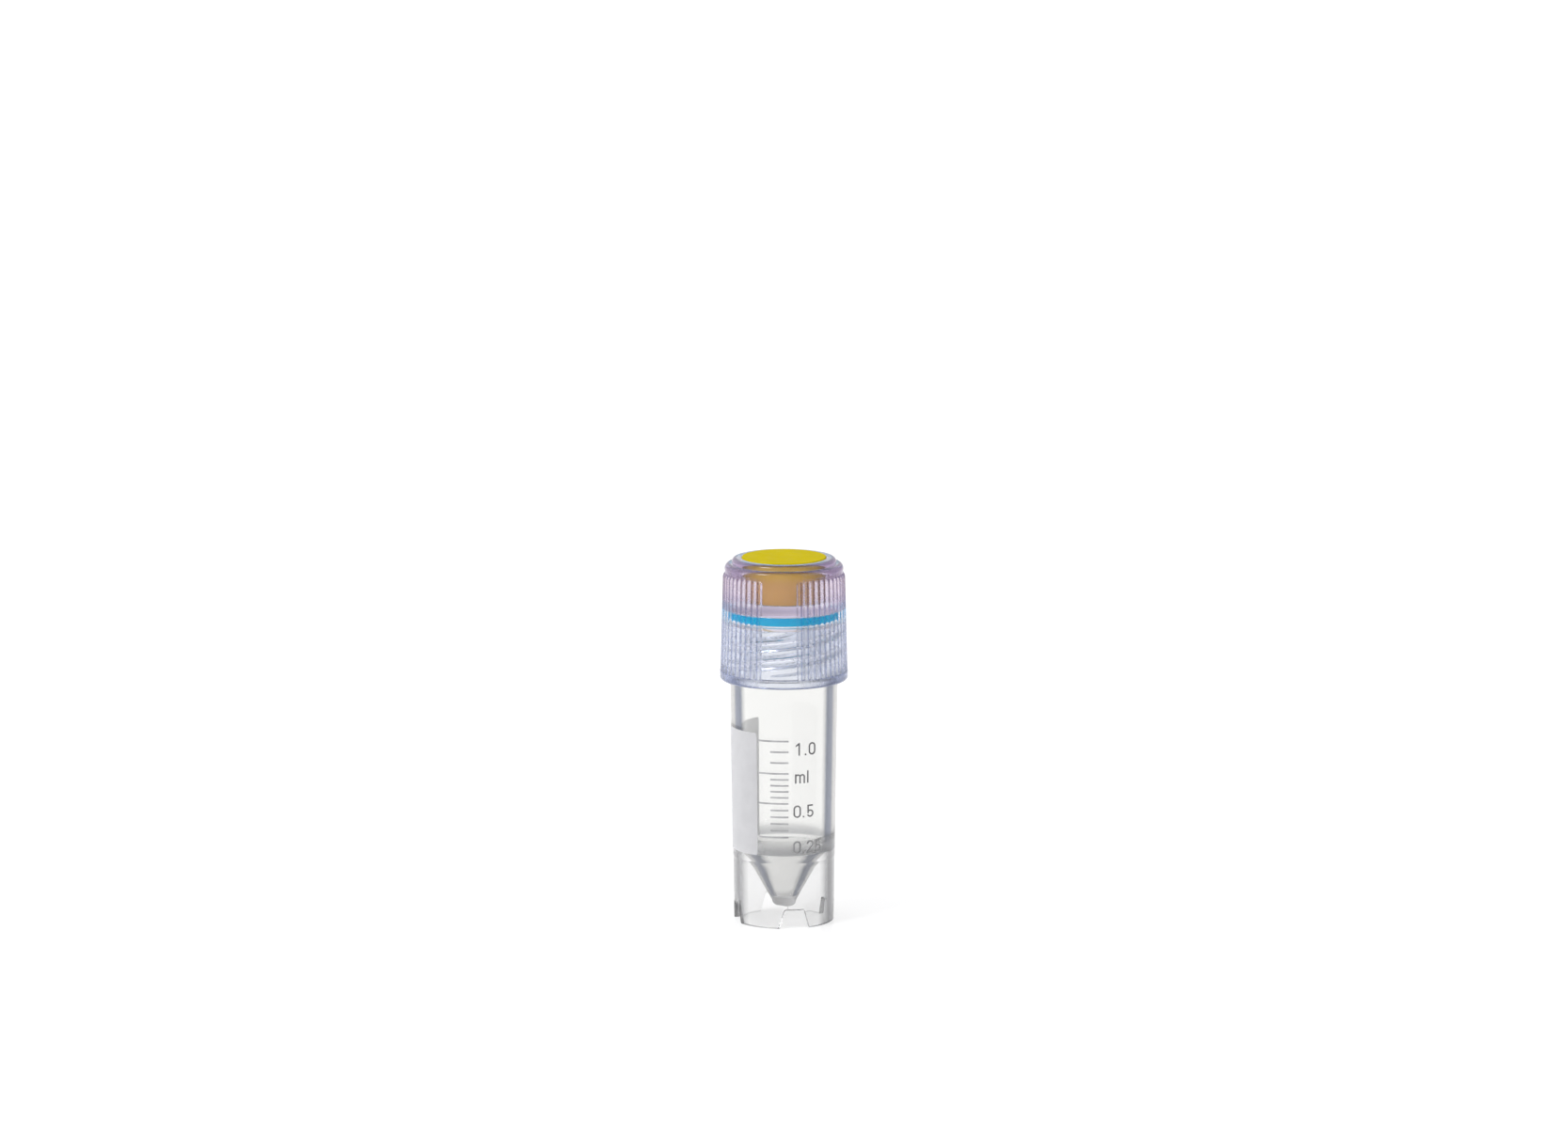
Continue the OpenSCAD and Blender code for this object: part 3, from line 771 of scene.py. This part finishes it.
def insert_plastic():
    """Yellow on top; the side is painted a warmer orange as shade, yellower near its top."""
    nodes = Nodes("insert_plastic")
    mottle = nodes.noise(500)
    z, top_z = nodes.height(), INSERT_HIGH[2]
    top = nodes.ramp(mottle, [(0.3, (0.54, 0.44, 0.002)), (0.7, (0.58, 0.47, 0.004))])
    # painted shade: the side, in the cap's shade, is a warmer orange than the top and turns yellower near
    # it
    side = nodes.ramp(mottle, [(0.3, (0.94, 0.62, 0.10)), (0.7, (0.98, 0.66, 0.12))])
    side_shade_fade = nodes.spread(z, 0, 1, (top_z - 2.6) * MM, (top_z - 1.0) * MM)
    side = nodes.mix(side_shade_fade, side, (0.98, 0.74, 0.02, 1))
    at_top = nodes.spread(z, 0, 1, (top_z - 0.3) * MM, (top_z - 0.1) * MM)
    return nodes.finish(
        Base_Color=nodes.mix(at_top, side, top),
        Roughness=nodes.spread(nodes.noise(1000), 0.42, 0.55),
        IOR=1.45,
        Specular_IOR_Level=0.01,
        Normal=nodes.grain(5000),
    )


def make_materials():
    """The materials by the name of their slot."""
    return {
        "tube_plastic": tube_plastic(),
        "cap_plastic": cap_plastic(),
        "gasket_silicone": satin(
            "gasket_silicone", (0.0, 0.57, 0.98), (0.001, 0.62, 1.0), 0.4, 300, 4000, 0.02
        ),
        "insert_plastic": insert_plastic(),
        "patch_ink": satin(
            "patch_ink", (0.58, 0.58, 0.61), (0.62, 0.62, 0.65), 0.7, 700, 6000, 0.2, 0.8
        ),
        "scale_ink": number_ink(),
    }


def dress(piece, material):
    """Gives a piece its one material."""
    piece.data.materials.clear()
    piece.data.materials.append(material)


# ---- floor, light and camera ---------------------------------------------------------

def make_floor():
    """A pale, faintly glossy floor that glows enough to stay white."""
    half = 3.0                          # metres
    corners = [(-half, -half, 0), (half, -half, 0), (half, half, 0), (-half, half, 0)]
    mesh = bpy.data.meshes.new("floor")
    mesh.from_pydata(corners, [], [(0, 1, 2, 3)])
    floor = bpy.data.objects.new("floor", mesh)
    bpy.context.scene.collection.objects.link(floor)
    nodes = Nodes("pale_floor")
    dress(floor, nodes.finish(
        Base_Color=nodes.ramp(nodes.noise(3), [(0.3, (0.50, 0.50, 0.505)), (0.7, (0.52, 0.52, 0.525))]),
        Roughness=0.06,
        IOR=1.15,
        Emission_Color=(1, 1, 1, 1),
        Emission_Strength=0.55,
    ))


def make_world():
    """White all round, brighter on the left."""
    world = bpy.data.worlds.new("studio")
    world.use_nodes = True
    tree = world.node_tree
    background = tree.nodes["Background"]
    background.inputs["Color"].default_value = (1, 1, 1, 1)
    way = tree.nodes.new("ShaderNodeTexCoord").outputs["Generated"]
    parts = tree.nodes.new("ShaderNodeSeparateXYZ")
    strength = tree.nodes.new("ShaderNodeMapRange")
    for socket, value in {"From Min": -1, "From Max": 1, "To Min": 1.1, "To Max": 0.45}.items():
        strength.inputs[socket].default_value = value
    tree.links.new(way, parts.inputs[0])
    tree.links.new(parts.outputs["X"], strength.inputs["Value"])
    tree.links.new(strength.outputs["Result"], background.inputs["Strength"])
    bpy.context.scene.world = world


def softbox(name, place, aim, size, power):
    """A rectangular area light at a place, turned to what it lights; metres and watts."""
    lamp = bpy.data.lights.new(name, "AREA")
    lamp.shape = "RECTANGLE"
    lamp.size, lamp.size_y = size
    lamp.energy = power
    light = bpy.data.objects.new(name, lamp)
    light.location = place
    light.rotation_euler = (Vector(place) - Vector(aim)).to_track_quat("Z", "Y").to_euler()
    bpy.context.scene.collection.objects.link(light)


def make_camera(top_z):
    """A long lens in front, a little above: the vial stands below the middle of the picture."""
    distance = 0.9
    picture_width = 0.1738269           # metres across the picture, at the vial
    elevation = math.radians(10.3)
    below_top = 0.00133                 # the picture's middle lies this far below the cap's top
    aim = Vector((0, 0, top_z - below_top))
    camera = bpy.data.cameras.new("camera")
    camera.sensor_width = 36
    camera.lens = camera.sensor_width * distance / picture_width
    camera.clip_start = 0.01
    view = bpy.data.objects.new("camera", camera)
    view.location = aim + distance * Vector((0, -math.cos(elevation), math.sin(elevation)))
    view.rotation_euler = (view.location - aim).to_track_quat("Z", "Y").to_euler()
    bpy.context.scene.collection.objects.link(view)
    bpy.context.scene.camera = view


def make_studio():
    """Floor, light and camera, and enough bounces for light to cross all the clear walls."""
    low, high = (Vector(corner) for corner in CAD_BOUNDS)
    middle = (low + high) / 2
    make_floor()
    make_world()
    softbox("key", (-0.48, -0.35, 0.68), middle, (0.3, 0.3), 3)
    softbox("fill", (0.6, -0.3, 0.6), middle, (0.6, 0.6), 1)
    make_camera(high.z)
    scene = bpy.context.scene
    scene.view_settings.view_transform = "Standard"
    scene.cycles.max_bounces = 40
    scene.cycles.transmission_bounces = 36
    scene.cycles.glossy_bounces = 12
    scene.cycles.diffuse_bounces = 6


# ---- the vial ------------------------------------------------------------------------

def make_vial():
    """Each piece, riding on its body in place of its CAD node; the printed scale keeps its node."""
    materials = make_materials()
    pieces = [
        (make_tube(), "vial", "vial_tube", "tube_plastic"),
        (make_cap(), "cap", "screw_cap", "cap_plastic"),
        (make_gasket(), "seal", "gasket", "gasket_silicone"),
        (make_insert(), "cap", "cap_insert", "insert_plastic"),
        (make_patch(), "vial", "writing_patch", "patch_ink"),
    ]
    for piece, body, node, slot in pieces:
        dress(piece, materials[slot])
        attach(piece, body)
        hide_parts(node)
    dress(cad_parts["graduation_scale"], materials["scale_ink"])


make_vial()
make_studio()
